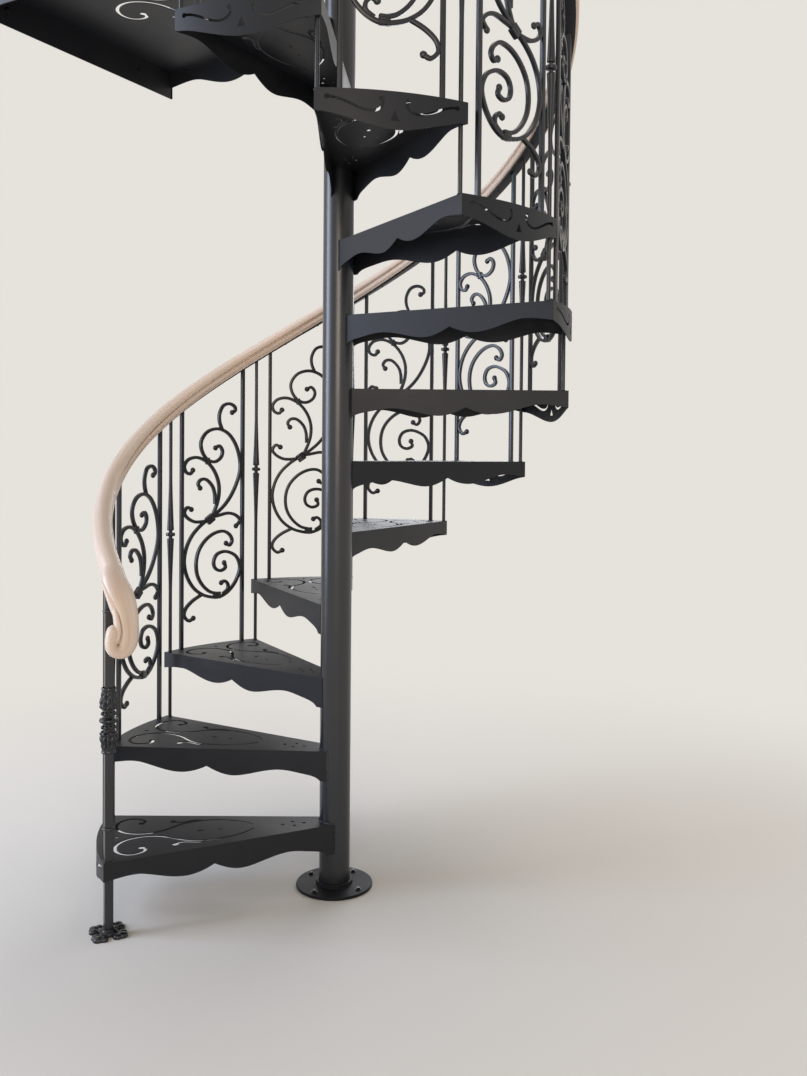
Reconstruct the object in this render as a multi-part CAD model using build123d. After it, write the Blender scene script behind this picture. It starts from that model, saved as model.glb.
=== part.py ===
# Spiral staircase of welded steel with scrollwork panels and a moulded wooden handrail.
# Origin: centre of the column at the floor. +Z up, +X to the right of the front view, -Y to the front.

from build123d import *
import math
import os

# Plan and levels, millimetres and degrees
stair_radius = 762.0
column_diameter = 101.6
column_wall = 6.0
tread_count = 11
step_angle = 30.0
first_rise = 221.0
rise = 239.0
weld_gap = 0.2
seat_gap = 0.2
hole_clearance = 0.3
cut_margin = 3.0

# Foot of the column
flange_diameter = 254.0
flange_thickness = 10.0
flange_collar_width = 10.0
flange_collar_height = 12.0
flange_bolt_circle = 203.0
flange_bolt_count = 4
flange_bolt_azimuth = -6.0
flange_hole_diameter = 14.0

# Treads: the front edge passes just inside the column's side, the back edge nearer to its axis
plate_thickness = 3.2
tread_lap_angle = 0.67
front_edge_inset = 3.8
back_edge_offset = 22.0
apron_depth_column = 99.0
apron_depth_corner = 57.0
apron_depth_end_middle = 98.0

# Lower edge of a side apron: distance from the column's axis, depth below the tread's top
scallop_start = 44.0
inner_scallop = [(100.0, 76.0), (179.0, 64.0), (306.0, 85.0)]
scallop_cusp = (423.0, 58.0)
outer_scallop = [(523.0, 79.5), (632.0, 53.0)]

# Lower edge of the curved end apron, each side of its middle
end_scallop_shoulder = (150.0, 66.0)
end_scallop_reach = 218.0

# Ornaments in the tread are drawn for this radius and grow with the stair
ornament_radius = 762.0

# Slots in the tread plate, for its leading half: x runs outward along the tread's middle
plate_spiral = [
    (270, 16), (318, 58), (364, 77), (414, 86), (462, 80), (500, 65), (538, 37), (585, 15), (632, 14),
    (672, 31), (698, 64), (704, 98), (692, 130), (662, 150), (630, 143), (613, 122), (624, 103),
]
plate_comma = [(432, 92), (470, 90), (500, 84), (522, 98)]
plate_drops = [(439, 2, 11.0), (378, 3, 8.0), (701, 0, 11.0)]
plate_drop_slimness = 0.45
plate_bolts = [(105, 11), (140, -8), (139, 28), (175, 11)]
plate_bolt_hole_diameter = 11.0
plate_slot_tip = 4.5
plate_slot_width = 10.5
plate_slot_knob = 21.0

# Slots in the end apron: x along the rim, y the depth below the tread's top
end_scroll = [(174, 22), (150, 25), (122, 35), (96, 46), (68, 53), (46, 50), (33, 38), (35, 23)]
end_triangle = [(0, 49), (13, 75), (-13, 75)]
end_slot_width = 7.0
end_slot_knob = 13.0

# Balusters: a rod with two long flares that meet at a ring
baluster_inset = 18.0
baluster_inset_angle = 0.92
bar_size = 12.7
knuckle_height = 437.0
knuckle_diameter = 34.0
knuckle_ring_height = 13.0
knuckle_ring_bevel = 3.0
flare_diameter = 25.0
flare_length = 190.0
flare_lip = 6.0
flare_bevel = 2.0
flare_waist_share = 0.45
neck_diameter = 14.0
neck_length = 8.0

# Scrollwork of a panel: x runs from its leading bar to its trailing bar, y is the height above the tread
panel_start_inset_angle = 4.6
panel_end_inset_angle = 4.2
panel_drawn_width = 273.7
panel_drawn_rise = 871.4
scroll_bar_width = 12.0
scroll_bar_depth = 12.0
scroll_knob_diameter = 20.0
panel_top_scroll = [
    (180, 836), (167, 868), (166, 900), (182, 932), (210, 942), (235, 932), (238, 916), (224, 908),
]
panel_scrolls = [
    [
        (125, 492), (195, 549), (240, 616), (263, 690), (249, 765), (212, 820), (162, 842), (112, 830),
        (84, 792), (89, 752), (113, 722), (145, 714), (172, 730), (180, 756), (166, 776), (148, 768),
    ],
    [
        (133, 500), (152, 540), (164, 583), (163, 630), (145, 675), (113, 711), (70, 730), (31, 724),
        (11, 700), (17, 676), (36, 668), (48, 682),
    ],
    [(147, 550), (145, 590), (134, 620), (109, 644), (85, 646), (71, 630), (80, 613)],
    [(128, 490), (96, 484), (57, 484), (26, 499), (11, 520), (24, 540), (42, 532)],
    [(140, 500), (165, 505), (205, 512), (240, 504), (262.5, 482), (244, 460)],
    [
        (108, 486), (75, 462), (44, 430), (21, 387), (11, 334), (22, 280), (50, 233), (88, 203), (128, 189),
        (169, 186), (209, 204), (244, 242), (263, 292), (250, 333), (222, 354), (188, 362), (156, 352),
        (142, 326), (148, 300), (172, 288), (195, 298), (190, 318),
    ],
    [
        (160, 200), (124, 210), (90, 240), (68, 281), (64, 331), (77, 376), (107, 413), (145, 436),
        (185, 442), (214, 427), (226, 403), (214, 385), (198, 394),
    ],
    [(88, 201), (50, 182), (20, 156), (11.5, 128), (31, 106), (52, 114)],
    [(184, 196), (206, 212), (207, 232), (192, 246), (177, 240)],
]
panel_collars = [(125, 492, 34, 30), (113, 717, 20, 22), (157, 193, 30, 26)]

# Newel post at the first tread's leading corner
newel_size = 25.4
newel_inset = 19.5
newel_inset_angle = 1.5
newel_ring_diameter = 38.0
newel_ring_thickness = 9.0
newel_upper_ring_height = 969.0
newel_lower_ring_rise = 97.0

# Leafy casting on the newel post: radius and height of its outline above its own foot
casting_bottom = 537.0
casting_outline = [
    (19.0, 0.0), (21.0, 12.0), (24.1, 45.7), (28.0, 69.7), (23.5, 79.7), (23.5, 91.7),
    (28.0, 101.7), (25.8, 129.7), (22.0, 178.0), (21.0, 196.0), (19.0, 204.0),
]

# Foot of the newel post: four leaf lobes round a hub, and a boss
newel_foot_thickness = 12.0
newel_foot_hub_diameter = 65.0
newel_foot_lobe_reach = 44.5
newel_foot_lobe_length = 41.0
newel_foot_lobe_width = 45.0
newel_foot_lobe_count = 4
newel_boss_height = 14.0
newel_boss_diameter = 53.4
newel_boss_top_diameter = 40.6

# Handrail: a moulded rail of wood seated in a steel strip that follows the balusters
rail_top_height = 931.0
rail_wood_width = 58.0
rail_wood_height = 54.0
rail_crown_height = 21.7
rail_edge_bevel = 4.0
rail_strip_width = 38.0
rail_strip_thickness = 6.0
rail_bottom_extra_angle = 3.0
rail_top_extra_angle = 2.5
rail_strip_extra_angle = 1.4
bar_trim_length = 60.0

# Volute at the rail's lower end: places down its middle as (onward, outward, upward) from the rail's end, with
# its width and thickness there, and the round scroll at its foot, whose face looks onward
volute_stations = [
    ((27.0, 6.0, -16.0), 64.0, 55.0),
    ((54.0, 7.0, -36.0), 73.0, 56.0),
    ((79.0, 1.0, -66.0), 79.0, 57.0),
    ((93.0, -5.0, -95.0), 78.0, 57.0),
    ((100.0, -11.0, -122.0), 72.0, 57.0),
    ((104.0, -14.0, -150.0), 68.0, 57.0),
    ((105.0, -14.0, -182.0), 66.0, 57.0),
]
volute_scroll_centre = (105.0, -1.0, -198.0)
volute_scroll_diameter = 96.0
volute_scroll_thickness = 50.0
volute_scroll_rounding = 12.0

# Landing: a square plate with its corner at the column, whose last tread edge runs along -Y
landing_margin = 25.0
landing_back_offset = 60.0
landing_bolt_spacing = 560.0
landing_bolt_diameter = 14.0
landing_bolt_depth = 50.0
landing_ornament_turn = 225.0
guard_line_offset = 16.0
guard_baluster_places = (112.0, 520.0, 630.0)
guard_panel_place = 180.0
landing_post_size = 38.0
landing_post_inset = 42.0
landing_post_ball_diameter = 47.0
landing_rail_height = 931.0
column_above_rail = 60.0
cap_height = 34.0
cap_overhang = 5.0
cap_rounding = 23.8

column_radius = column_diameter / 2
weld_radius = column_radius + weld_gap
baluster_radius = stair_radius - baluster_inset
newel_radius = stair_radius - newel_inset
front_edge_offset = column_radius - front_edge_inset
ornament_scale = stair_radius / ornament_radius
slope_angle = math.degrees(math.atan(rise / (baluster_radius * math.radians(step_angle))))
slope_cosine = math.cos(math.radians(slope_angle))
bar_top_height = rail_top_height - (rail_wood_height + weld_gap + rail_strip_thickness) / slope_cosine
landing_level = first_rise + rise * tread_count
landing_size = stair_radius + landing_margin
landing_post_place = landing_size - landing_post_inset
half_tread_angle = step_angle / 2 + tread_lap_angle
back_line_angle = half_tread_angle - math.degrees(math.asin(back_edge_offset / stair_radius))
first_azimuth = step_angle * (tread_count - 0.5) + back_line_angle - 90.0
first_middle_azimuth = first_azimuth - step_angle / 2


def polar(radius, azimuth, z=0.0):
    angle = math.radians(azimuth)
    return Vector(radius * math.cos(angle), radius * math.sin(angle), z)


def nosing_level(azimuth):
    """Height of the line through the treads' leading corners, carried round the stair."""
    return first_rise + rise * (first_azimuth - azimuth) / step_angle


def climb(body, steps):
    """The same piece, so many treads further up the stair."""
    return Pos(0, 0, rise * steps) * Rot(0, 0, -step_angle * steps) * body


def tangents(points):
    """Unit direction at each point of a row of points, from its neighbours."""
    result = []
    for i in range(len(points)):
        before = points[max(i - 1, 0)]
        after = points[min(i + 1, len(points) - 1)]
        dx = after[0] - before[0]
        dy = after[1] - before[1]
        length = math.hypot(dx, dy)
        result.append((dx / length, dy / length))
    return result


def stroke(points, start_width, full_width, knob_diameter):
    """Flat curved bar or slot along the points, which swells over its first third and ends in a round knob."""
    swell = (len(points) - 1) / 3.0
    left = []
    right = []
    for i, ((x, y), (tx, ty)) in enumerate(zip(points, tangents(points))):
        half = (start_width + (full_width - start_width) * min(1.0, i / swell)) / 2
        left.append((x - ty * half, y + tx * half))
        right.append((x + ty * half, y - tx * half))
    edges = [
        Spline(*left),
        Line(left[-1], right[-1]),
        Spline(*reversed(right)),
        Line(right[0], left[0]),
    ]
    return make_face(edges) + Pos(*points[-1]) * Circle(knob_diameter / 2)


# Side lines of a tread, in its own frame: x runs outward along its middle, y to its leading side
def side_line(offset, radius, side):
    """Angle, inner, outer and nearest point of a side line that passes the column's axis at the offset."""
    line_angle = math.radians(half_tread_angle) - math.asin(offset / stair_radius)
    outer_run = math.sqrt(radius ** 2 - offset ** 2)
    inner_run = math.sqrt(max(weld_radius ** 2 - offset ** 2, 0.0))

    def point(along, out):
        x = along * math.cos(line_angle) - out * math.sin(line_angle)
        y = along * math.sin(line_angle) + out * math.cos(line_angle)
        return (x, side * y)

    return line_angle, point(inner_run, offset), point(outer_run, offset), point(0.0, offset)


def tread_outline():
    front_angle, front_inner, front_outer, _ = side_line(front_edge_offset, stair_radius, 1)
    back_angle, back_inner, back_outer, _ = side_line(back_edge_offset, stair_radius, -1)
    return make_face([
        Line(front_inner, front_outer),
        ThreePointArc(front_outer, (stair_radius, 0), back_outer),
        Line(back_outer, back_inner),
        ThreePointArc(back_inner, (weld_radius, 0), front_inner),
    ])


def tread_hollow():
    """Plan of the space between the aprons, open to the column."""
    inner_radius = stair_radius - plate_thickness
    _, _, front_outer, front_axis = side_line(front_edge_offset - plate_thickness, inner_radius, 1)
    _, _, back_outer, back_axis = side_line(back_edge_offset - plate_thickness, inner_radius, -1)
    return make_face([
        Line(front_axis, front_outer),
        ThreePointArc(front_outer, (inner_radius, 0), back_outer),
        Line(back_outer, back_axis),
        Line(back_axis, front_axis),
    ])


def scaled(points):
    """Points drawn along the tread, moved out or in with the stair's radius; depths stay."""
    return [(x * ornament_scale, depth) for x, depth in points]


def side_apron_waste(reach):
    """What is cut away below a side apron: x runs out from the column, y is the depth below the tread's top."""
    start = (scallop_start, apron_depth_column)
    cusp = scaled([scallop_cusp])[0]
    end = (reach, apron_depth_corner)
    below = apron_depth_column + cut_margin
    return make_face([
        Spline(start, *scaled(inner_scallop), cusp, tangents=((0.8, -1.0), (1.0, -0.55))),
        Spline(cusp, *scaled(outer_scallop), end, tangents=((1.0, 0.5), (1.0, 0.15))),
        Line(end, (reach, below)),
        Line((reach, below), (scallop_start, below)),
        Line((scallop_start, below), start),
    ])


def end_apron_waste():
    """What is cut away below the curved end apron: x runs along the rim, y is the depth below the tread's top."""
    reach = end_scallop_reach * ornament_scale
    shoulder, shoulder_depth = scaled([end_scallop_shoulder])[0]
    below = apron_depth_column + cut_margin
    edge = Spline(
        (-reach, apron_depth_corner),
        (-shoulder, shoulder_depth),
        (0.0, apron_depth_end_middle),
        (shoulder, shoulder_depth),
        (reach, apron_depth_corner),
        tangents=((1.0, 0.0), (1.0, 0.0)),
    )
    corners = [(reach, apron_depth_corner), (reach, below), (-reach, below), (-reach, apron_depth_corner)]
    return make_face([edge, Polyline(*corners)])


def tread_plate_slots():
    shapes = []
    for side in (1, -1):
        for outline in (plate_spiral, plate_comma):
            points = [(x * ornament_scale, side * y * ornament_scale) for x, y in outline]
            shapes.append(stroke(points, plate_slot_tip, plate_slot_width, plate_slot_knob))
    for x, y, length in plate_drops:
        drop = Ellipse(length, length * plate_drop_slimness)
        shapes.append(Pos(x * ornament_scale, y * ornament_scale) * drop)
    for x, y in plate_bolts:
        shapes.append(Pos(x * ornament_scale, y * ornament_scale) * Circle(plate_bolt_hole_diameter / 2))
    return shapes


def end_apron_slots():
    shapes = [make_face(Polyline(*end_triangle, close=True))]
    for side in (1, -1):
        scroll = scaled([(side * x, y) for x, y in end_scroll])
        shapes.append(stroke(scroll, end_slot_width, end_slot_width, end_slot_knob))
        shapes.append(Pos(*scroll[0]) * Circle(end_slot_knob / 2))
    return shapes


def through_plate(shape):
    """Cut through a plate whose top is at z = 0."""
    return Pos(0, 0, -plate_thickness - cut_margin) * extrude(shape, plate_thickness + 2 * cut_margin)


def make_tread(corner_hole):
    """A welded tread in its own frame, its plate's top at z = 0, with a hole for the post at its corner."""
    body = extrude(tread_outline(), -apron_depth_column)
    body -= Pos(0, 0, -plate_thickness) * extrude(tread_hollow(), -apron_depth_column)
    for offset, side in ((front_edge_offset, 1), (back_edge_offset, -1)):
        angle, _, _, _ = side_line(offset, stair_radius, side)
        along = Vector(math.cos(angle), side * math.sin(angle), 0)
        across = Vector(-along.Y, along.X, 0)
        low = min(side * offset, side * (offset - plate_thickness)) - cut_margin
        face_plane = Plane(origin=across * low, x_dir=along, z_dir=across)
        waste = side_apron_waste(stair_radius + cut_margin)
        body -= extrude(face_plane * waste, plate_thickness + 2 * cut_margin)
    rim_plane = Plane(origin=(stair_radius + cut_margin, 0, 0), x_dir=(0, 1, 0), z_dir=(-1, 0, 0))
    rim_bulge = stair_radius * (1.0 - math.cos(math.radians(half_tread_angle)))
    rim_depth = rim_bulge + plate_thickness + 2 * cut_margin
    for shape in [end_apron_waste()] + end_apron_slots():
        body -= extrude(rim_plane * shape, rim_depth)
    for shape in tread_plate_slots() + [corner_hole]:
        body -= through_plate(shape)
    return Pos(0, 0, first_rise) * Rot(0, 0, first_middle_azimuth) * body


def slope_cut(radius, azimuth):
    """Block above the underside of the rail's strip, to trim a bar's top to the rail's slope."""
    point = polar(radius, azimuth, nosing_level(azimuth) + bar_top_height - seat_gap)
    uphill = polar(1.0, azimuth - 90.0)
    slope = math.radians(slope_angle)
    along = uphill * math.cos(slope) + Vector(0, 0, math.sin(slope))
    upward = uphill * -math.sin(slope) + Vector(0, 0, math.cos(slope))
    side = 2 * panel_drawn_width / 3
    face = Plane(origin=point, x_dir=along, z_dir=upward) * Rectangle(side, side)
    return extrude(face, 2 * rise, dir=(0, 0, 1))


def knuckle_profile(foot, top, knuckle):
    """Half section of a baluster between two heights, with its ring at the height of the knuckle."""
    rod = bar_size / 2
    flare = flare_diameter / 2
    neck = neck_diameter / 2
    ring = knuckle_diameter / 2
    ring_foot = knuckle - knuckle_ring_height / 2
    flare_top = ring_foot - neck_length
    lower = [
        (rod, flare_top - flare_length),
        (rod + (flare - rod) * flare_waist_share, flare_top - flare_length * flare_waist_share),
        (flare, flare_top - flare_lip),
        (flare - flare_bevel, flare_top),
        (neck, ring_foot - flare_bevel),
        (neck, ring_foot),
        (ring - knuckle_ring_bevel, ring_foot),
        (ring, ring_foot + knuckle_ring_bevel),
    ]
    upper = [(radius, 2 * knuckle - z) for radius, z in reversed(lower)]
    return [(0, foot), (rod, foot)] + lower + upper + [(rod, top), (0, top)]


def turned(profile):
    """Solid of revolution about Z from a closed half section of (radius, height) points."""
    return revolve(make_face(Plane.XZ * Polyline(*profile, close=True)), Axis.Z, 360)


def make_baluster():
    """Knuckled baluster at the second tread's leading corner, from the first tread up to the rail."""
    azimuth = first_azimuth - step_angle + tread_lap_angle - baluster_inset_angle
    level = first_rise + rise
    top = nosing_level(azimuth) + bar_top_height + bar_trim_length
    body = turned(knuckle_profile(first_rise + seat_gap, top, level + knuckle_height))
    return Pos(*polar(baluster_radius, azimuth)) * body - slope_cut(baluster_radius, azimuth)


panel_azimuths = (first_azimuth - panel_start_inset_angle, first_azimuth - step_angle + panel_end_inset_angle)
panel_feet = [polar(baluster_radius, azimuth) for azimuth in panel_azimuths]
panel_width = (panel_feet[1] - panel_feet[0]).length


def make_panel_plate(scrolls):
    """The scrolls and collars of a panel as one flat piece, between the faces of its two bars."""
    widen = panel_width / panel_drawn_width
    raised = bar_top_height / panel_drawn_rise
    plate = None
    for x, y, width, height in panel_collars:
        collar = Pos(x * widen, y * raised) * Rectangle(width, height)
        plate = collar if plate is None else plate + collar
    for outline in scrolls:
        points = [(x * widen, y * raised) for x, y in outline]
        plate += stroke(points, scroll_bar_width, scroll_bar_width, scroll_knob_diameter)
    return extrude(plate, scroll_bar_depth / 2, both=True)


def make_panel(scrolls, start, end, level, bar_length):
    """Two square bars standing on a tread or landing, with the scrolls between them."""
    along = (end - start).normalized()
    upright = Plane(origin=Vector(start.X, start.Y, level), x_dir=along, z_dir=along.cross(Vector(0, 0, 1)))
    body = upright.location * make_panel_plate(scrolls)
    for place in (start, end):
        bar_plane = Plane(origin=Vector(place.X, place.Y, level + seat_gap), x_dir=along)
        body += extrude(bar_plane * Rectangle(bar_size, bar_size), bar_length)
    return body


def make_spiral_panel():
    """The first tread's panel, its bars trimmed to the rail's slope."""
    bar_length = bar_top_height + rise + bar_trim_length
    body = make_panel([panel_top_scroll] + panel_scrolls, *panel_feet, first_rise, bar_length)
    for azimuth in panel_azimuths:
        body -= slope_cut(baluster_radius, azimuth)
    return body


newel_local_azimuth = half_tread_angle - newel_inset_angle
newel_azimuth = first_middle_azimuth + newel_local_azimuth
newel_local_turn = math.degrees(side_line(front_edge_offset, stair_radius, 1)[0])
newel_turn = first_middle_azimuth + newel_local_turn


def newel_at(z):
    return Pos(*polar(newel_radius, newel_azimuth, z)) * Rot(0, 0, newel_turn)


def newel_bore():
    side = newel_size + 2 * hole_clearance
    return Rectangle(side, side)


def make_newel_post():
    top = nosing_level(newel_azimuth) + bar_top_height + bar_trim_length
    body = newel_at(0) * extrude(Rectangle(newel_size, newel_size), top)
    for height in (newel_upper_ring_height, first_rise + newel_lower_ring_rise):
        body += newel_at(height) * Cylinder(newel_ring_diameter / 2, newel_ring_thickness)
    return body - slope_cut(newel_radius, newel_azimuth)


def make_newel_casting():
    """Leafy casting that sleeves the post: two bells of leaves that meet at a waist."""
    height = casting_outline[-1][1]
    body = turned([(0.0, 0.0)] + casting_outline + [(0.0, height)])
    return newel_at(casting_bottom) * (body - extrude(newel_bore(), height))


def make_newel_foot():
    """Cast foot with leaf lobes and a tapered boss, threaded over the post."""
    plate = Circle(newel_foot_hub_diameter / 2)
    lobe = Ellipse(newel_foot_lobe_length / 2, newel_foot_lobe_width / 2)
    for i in range(newel_foot_lobe_count):
        turn = 360.0 / newel_foot_lobe_count * (i + 0.5)
        plate += Rot(0, 0, turn) * Pos(newel_foot_lobe_reach, 0) * lobe
    body = extrude(plate, newel_foot_thickness)
    body += Pos(0, 0, newel_foot_thickness) * Cone(
        newel_boss_diameter / 2, newel_boss_top_diameter / 2, newel_boss_height,
        align=(Align.CENTER, Align.CENTER, Align.MIN),
    )
    return newel_at(0) * (body - extrude(newel_bore(), newel_foot_thickness + newel_boss_height))


# Handrail
last_baluster_azimuth = first_azimuth - step_angle * tread_count + tread_lap_angle - baluster_inset_angle
rail_start_azimuth = newel_azimuth + rail_bottom_extra_angle
rail_end_azimuth = last_baluster_azimuth - rail_top_extra_angle
rail_middle_height = rail_top_height - rail_wood_height / 2 / slope_cosine


def rail_sweep(section, start, end):
    """Sweeps a section up the stair along the rail's left-handed helix, from one azimuth to a lower one."""
    pitch = rise * 360.0 / step_angle
    path = Helix(pitch, pitch * (start - end) / 360.0, baluster_radius, lefthand=True)
    plane = Plane(origin=path @ 0, x_dir=(1, 0, 0), z_dir=path % 0)
    body = sweep(plane * section, path=path, is_frenet=True)
    return Pos(0, 0, nosing_level(start) + rail_middle_height) * Rot(0, 0, start) * body


def rail_section():
    """Moulded rail: flat underside, upright sides and a rounded crown, centred on its own middle."""
    side = rail_wood_width / 2
    top = rail_wood_height / 2
    shoulder = top - rail_crown_height
    bevel = rail_edge_bevel
    outline = [(side, shoulder), (side, bevel - top), (side - bevel, -top)]
    outline += [(-x, y) for x, y in reversed(outline)]
    return make_face([Polyline(*outline), ThreePointArc(outline[-1], (0, top), outline[0])])


def strip_section():
    drop = rail_wood_height / 2 + weld_gap + rail_strip_thickness / 2
    return Pos(0, -drop) * Rectangle(rail_strip_width, rail_strip_thickness)


def make_volute():
    """The rail's lower end: it turns down past the newel post, broadens and ends in a scroll."""
    start = polar(baluster_radius, rail_start_azimuth, nosing_level(rail_start_azimuth) + rail_middle_height)
    onward = polar(1.0, rail_start_azimuth + 90.0)
    outward = polar(1.0, rail_start_azimuth)

    def place(offsets):
        ahead, out, up = offsets
        return start + onward * ahead + outward * out + Vector(0, 0, up)

    slope = math.radians(slope_angle)
    downhill = onward * math.cos(slope) - Vector(0, 0, math.sin(slope))
    middles = [start + downhill * weld_gap] + [place(offsets) for offsets, _, _ in volute_stations]
    sizes = [(rail_wood_width, rail_wood_height)] + [(width, depth) for _, width, depth in volute_stations]
    sections = []
    for i, (width, depth) in enumerate(sizes):
        ahead = middles[min(i + 1, len(middles) - 1)] - middles[i - 1] if i else downhill
        direction = ahead.normalized()
        across = outward - direction * outward.dot(direction)
        plane = Plane(origin=middles[i], x_dir=across.normalized(), z_dir=direction)
        sections.append(plane * Ellipse(width / 2, depth / 2))
    scroll = Cylinder(volute_scroll_diameter / 2, volute_scroll_thickness)
    scroll = fillet(scroll.edges().filter_by(GeomType.CIRCLE), volute_scroll_rounding)
    seat = Plane(origin=place(volute_scroll_centre), z_dir=onward)
    return loft(sections) + seat.location * scroll


# Landing: its corner is at the column, its stair edge lies along -Y and its guarded edge along -X
def make_landing():
    width = landing_size
    length = landing_size + landing_back_offset
    middle = (-width / 2, landing_back_offset - length / 2)
    body = extrude(Pos(*middle) * Rectangle(width, length), -apron_depth_column)
    inner = Rectangle(width - 2 * plate_thickness, length - 2 * plate_thickness)
    body -= Pos(middle[0], middle[1], -plate_thickness) * extrude(inner, -apron_depth_column)
    body -= Cylinder(weld_radius, 4 * apron_depth_column)
    sides = (
        Plane(origin=(-plate_thickness - cut_margin, 0, 0), x_dir=(0, -1, 0), z_dir=(1, 0, 0)),
        Plane(origin=(0, landing_back_offset + cut_margin, 0), x_dir=(-1, 0, 0), z_dir=(0, -1, 0)),
    )
    for side in sides:
        waste = side_apron_waste(landing_size - plate_thickness - cut_margin)
        body -= extrude(side * waste, plate_thickness + 2 * cut_margin)
    for slot in tread_plate_slots():
        body -= Rot(0, 0, landing_ornament_turn) * through_plate(slot)
    for shift in (-landing_bolt_spacing / 2, landing_bolt_spacing / 2):
        hole = Cylinder(landing_bolt_diameter / 2, 4 * plate_thickness)
        centre = -landing_size / 2 + shift
        body -= Pos(-width, centre, -landing_bolt_depth) * Rot(0, 90, 0) * hole
        body -= Pos(centre, landing_back_offset - length, -landing_bolt_depth) * Rot(90, 0, 0) * hole
    corner = polar(baluster_radius, last_baluster_azimuth)
    body -= through_plate(Pos(corner.X, corner.Y) * Circle(bar_size / 2 + hole_clearance))
    return Pos(0, 0, landing_level) * body


guard_line = landing_back_offset - guard_line_offset
guard_bar_top = landing_rail_height - rail_wood_height - weld_gap - rail_strip_thickness
guard_rail_middle = landing_rail_height - rail_wood_height / 2
column_top = landing_level + landing_rail_height + column_above_rail


def guard_at(place, height=0.0):
    return Vector(-place, guard_line, landing_level + height)


def make_guard_balusters():
    body = turned(knuckle_profile(seat_gap, guard_bar_top - seat_gap, knuckle_height))
    return Compound(children=[Pos(*guard_at(place)) * body for place in guard_baluster_places])


def make_guard_panel():
    ends = (guard_at(guard_panel_place), guard_at(guard_panel_place + panel_width))
    return make_panel(panel_scrolls, *ends, landing_level, guard_bar_top - 2 * seat_gap)


def make_landing_post():
    height = column_top - landing_level
    ball_radius = landing_post_ball_diameter / 2
    body = extrude(Rectangle(landing_post_size, landing_post_size), height)
    body += Pos(0, 0, height + ball_radius / 2) * Sphere(ball_radius)
    return Pos(*guard_at(landing_post_place, seat_gap)) * body


def guard_rail_piece(section):
    """Straight length of rail from the column to the landing post."""
    length = landing_post_place - landing_post_size / 2 - seat_gap
    plane = Plane(origin=guard_at(0, guard_rail_middle), x_dir=(0, 1, 0), z_dir=(-1, 0, 0))
    column_space = extrude(Plane.XY.offset(landing_level) * Circle(weld_radius), 2 * landing_rail_height)
    return extrude(plane * section, length) - column_space


def make_column():
    ring = Circle(column_radius) - Circle(column_radius - column_wall)
    return Pos(0, 0, flange_thickness) * extrude(ring, column_top - flange_thickness)


def make_column_cap():
    disc = extrude(Circle(column_radius + cap_overhang), cap_height)
    return Pos(0, 0, column_top) * fillet(disc.edges().sort_by(Axis.Z)[-1], cap_rounding)


def make_base_flange():
    disc = Circle(flange_diameter / 2)
    for i in range(flange_bolt_count):
        place = polar(flange_bolt_circle / 2, flange_bolt_azimuth + 360.0 / flange_bolt_count * i)
        disc -= Pos(place.X, place.Y) * Circle(flange_hole_diameter / 2)
    collar = Circle(column_radius + flange_collar_width) - Circle(weld_radius)
    return extrude(disc, flange_thickness) + Pos(0, 0, flange_thickness) * extrude(collar, flange_collar_height)


def main():
    round_place = polar(baluster_radius, half_tread_angle - baluster_inset_angle)
    round_hole = Pos(round_place.X, round_place.Y) * Circle(bar_size / 2 + hole_clearance)
    square_place = polar(newel_radius, newel_local_azimuth)
    square_hole = Pos(square_place.X, square_place.Y) * Rot(0, 0, newel_local_turn) * newel_bore()
    first_tread = make_tread(square_hole)
    tread = make_tread(round_hole)
    panel = make_spiral_panel()
    baluster = make_baluster()
    parts = {
        "base_flange": make_base_flange(),
        "column": make_column(),
        "column_cap": make_column_cap(),
        "newel_post": make_newel_post(),
        "newel_casting": make_newel_casting(),
        "newel_foot": make_newel_foot(),
        "handrail": rail_sweep(rail_section(), rail_start_azimuth, rail_end_azimuth),
        "handrail_volute": make_volute(),
        "rail_strip": rail_sweep(strip_section(), newel_azimuth + rail_strip_extra_angle, rail_end_azimuth),
        "landing": make_landing(),
        "landing_panel": make_guard_panel(),
        "landing_balusters": make_guard_balusters(),
        "landing_post": make_landing_post(),
        "landing_rail": guard_rail_piece(rail_section()),
        "landing_rail_strip": guard_rail_piece(strip_section()),
    }
    for number in range(1, tread_count + 1):
        parts[f"tread_{number:02d}"] = climb(first_tread if number == 1 else tread, number - 1)
        parts[f"scroll_panel_{number:02d}"] = climb(panel, number - 1)
        parts[f"baluster_{number + 1:02d}"] = climb(baluster, number - 1)
    os.makedirs("parts", exist_ok=True)
    for name, body in parts.items():
        export_step(body, f"parts/{name}.step")
        print(name, len(body.solids()), round(sum(solid.volume for solid in body.solids()) / 1000.0, 1), "cm3")


main()
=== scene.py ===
import math
from functools import partial
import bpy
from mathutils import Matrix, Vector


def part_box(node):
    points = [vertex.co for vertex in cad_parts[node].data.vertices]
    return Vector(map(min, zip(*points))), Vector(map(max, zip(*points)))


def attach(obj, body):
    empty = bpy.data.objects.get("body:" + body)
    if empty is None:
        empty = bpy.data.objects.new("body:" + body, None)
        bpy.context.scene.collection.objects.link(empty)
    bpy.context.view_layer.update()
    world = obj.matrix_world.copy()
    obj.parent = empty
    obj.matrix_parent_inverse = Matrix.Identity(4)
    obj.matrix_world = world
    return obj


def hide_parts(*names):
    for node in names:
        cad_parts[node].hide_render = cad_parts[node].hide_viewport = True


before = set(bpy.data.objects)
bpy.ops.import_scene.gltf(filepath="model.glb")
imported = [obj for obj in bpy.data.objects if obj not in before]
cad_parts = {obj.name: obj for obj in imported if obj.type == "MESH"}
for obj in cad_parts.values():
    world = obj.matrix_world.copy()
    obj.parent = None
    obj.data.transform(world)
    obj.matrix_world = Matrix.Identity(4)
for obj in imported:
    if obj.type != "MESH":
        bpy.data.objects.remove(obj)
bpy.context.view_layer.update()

from types import SimpleNamespace

import bmesh
import bpy
from mathutils import Matrix, Vector

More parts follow.
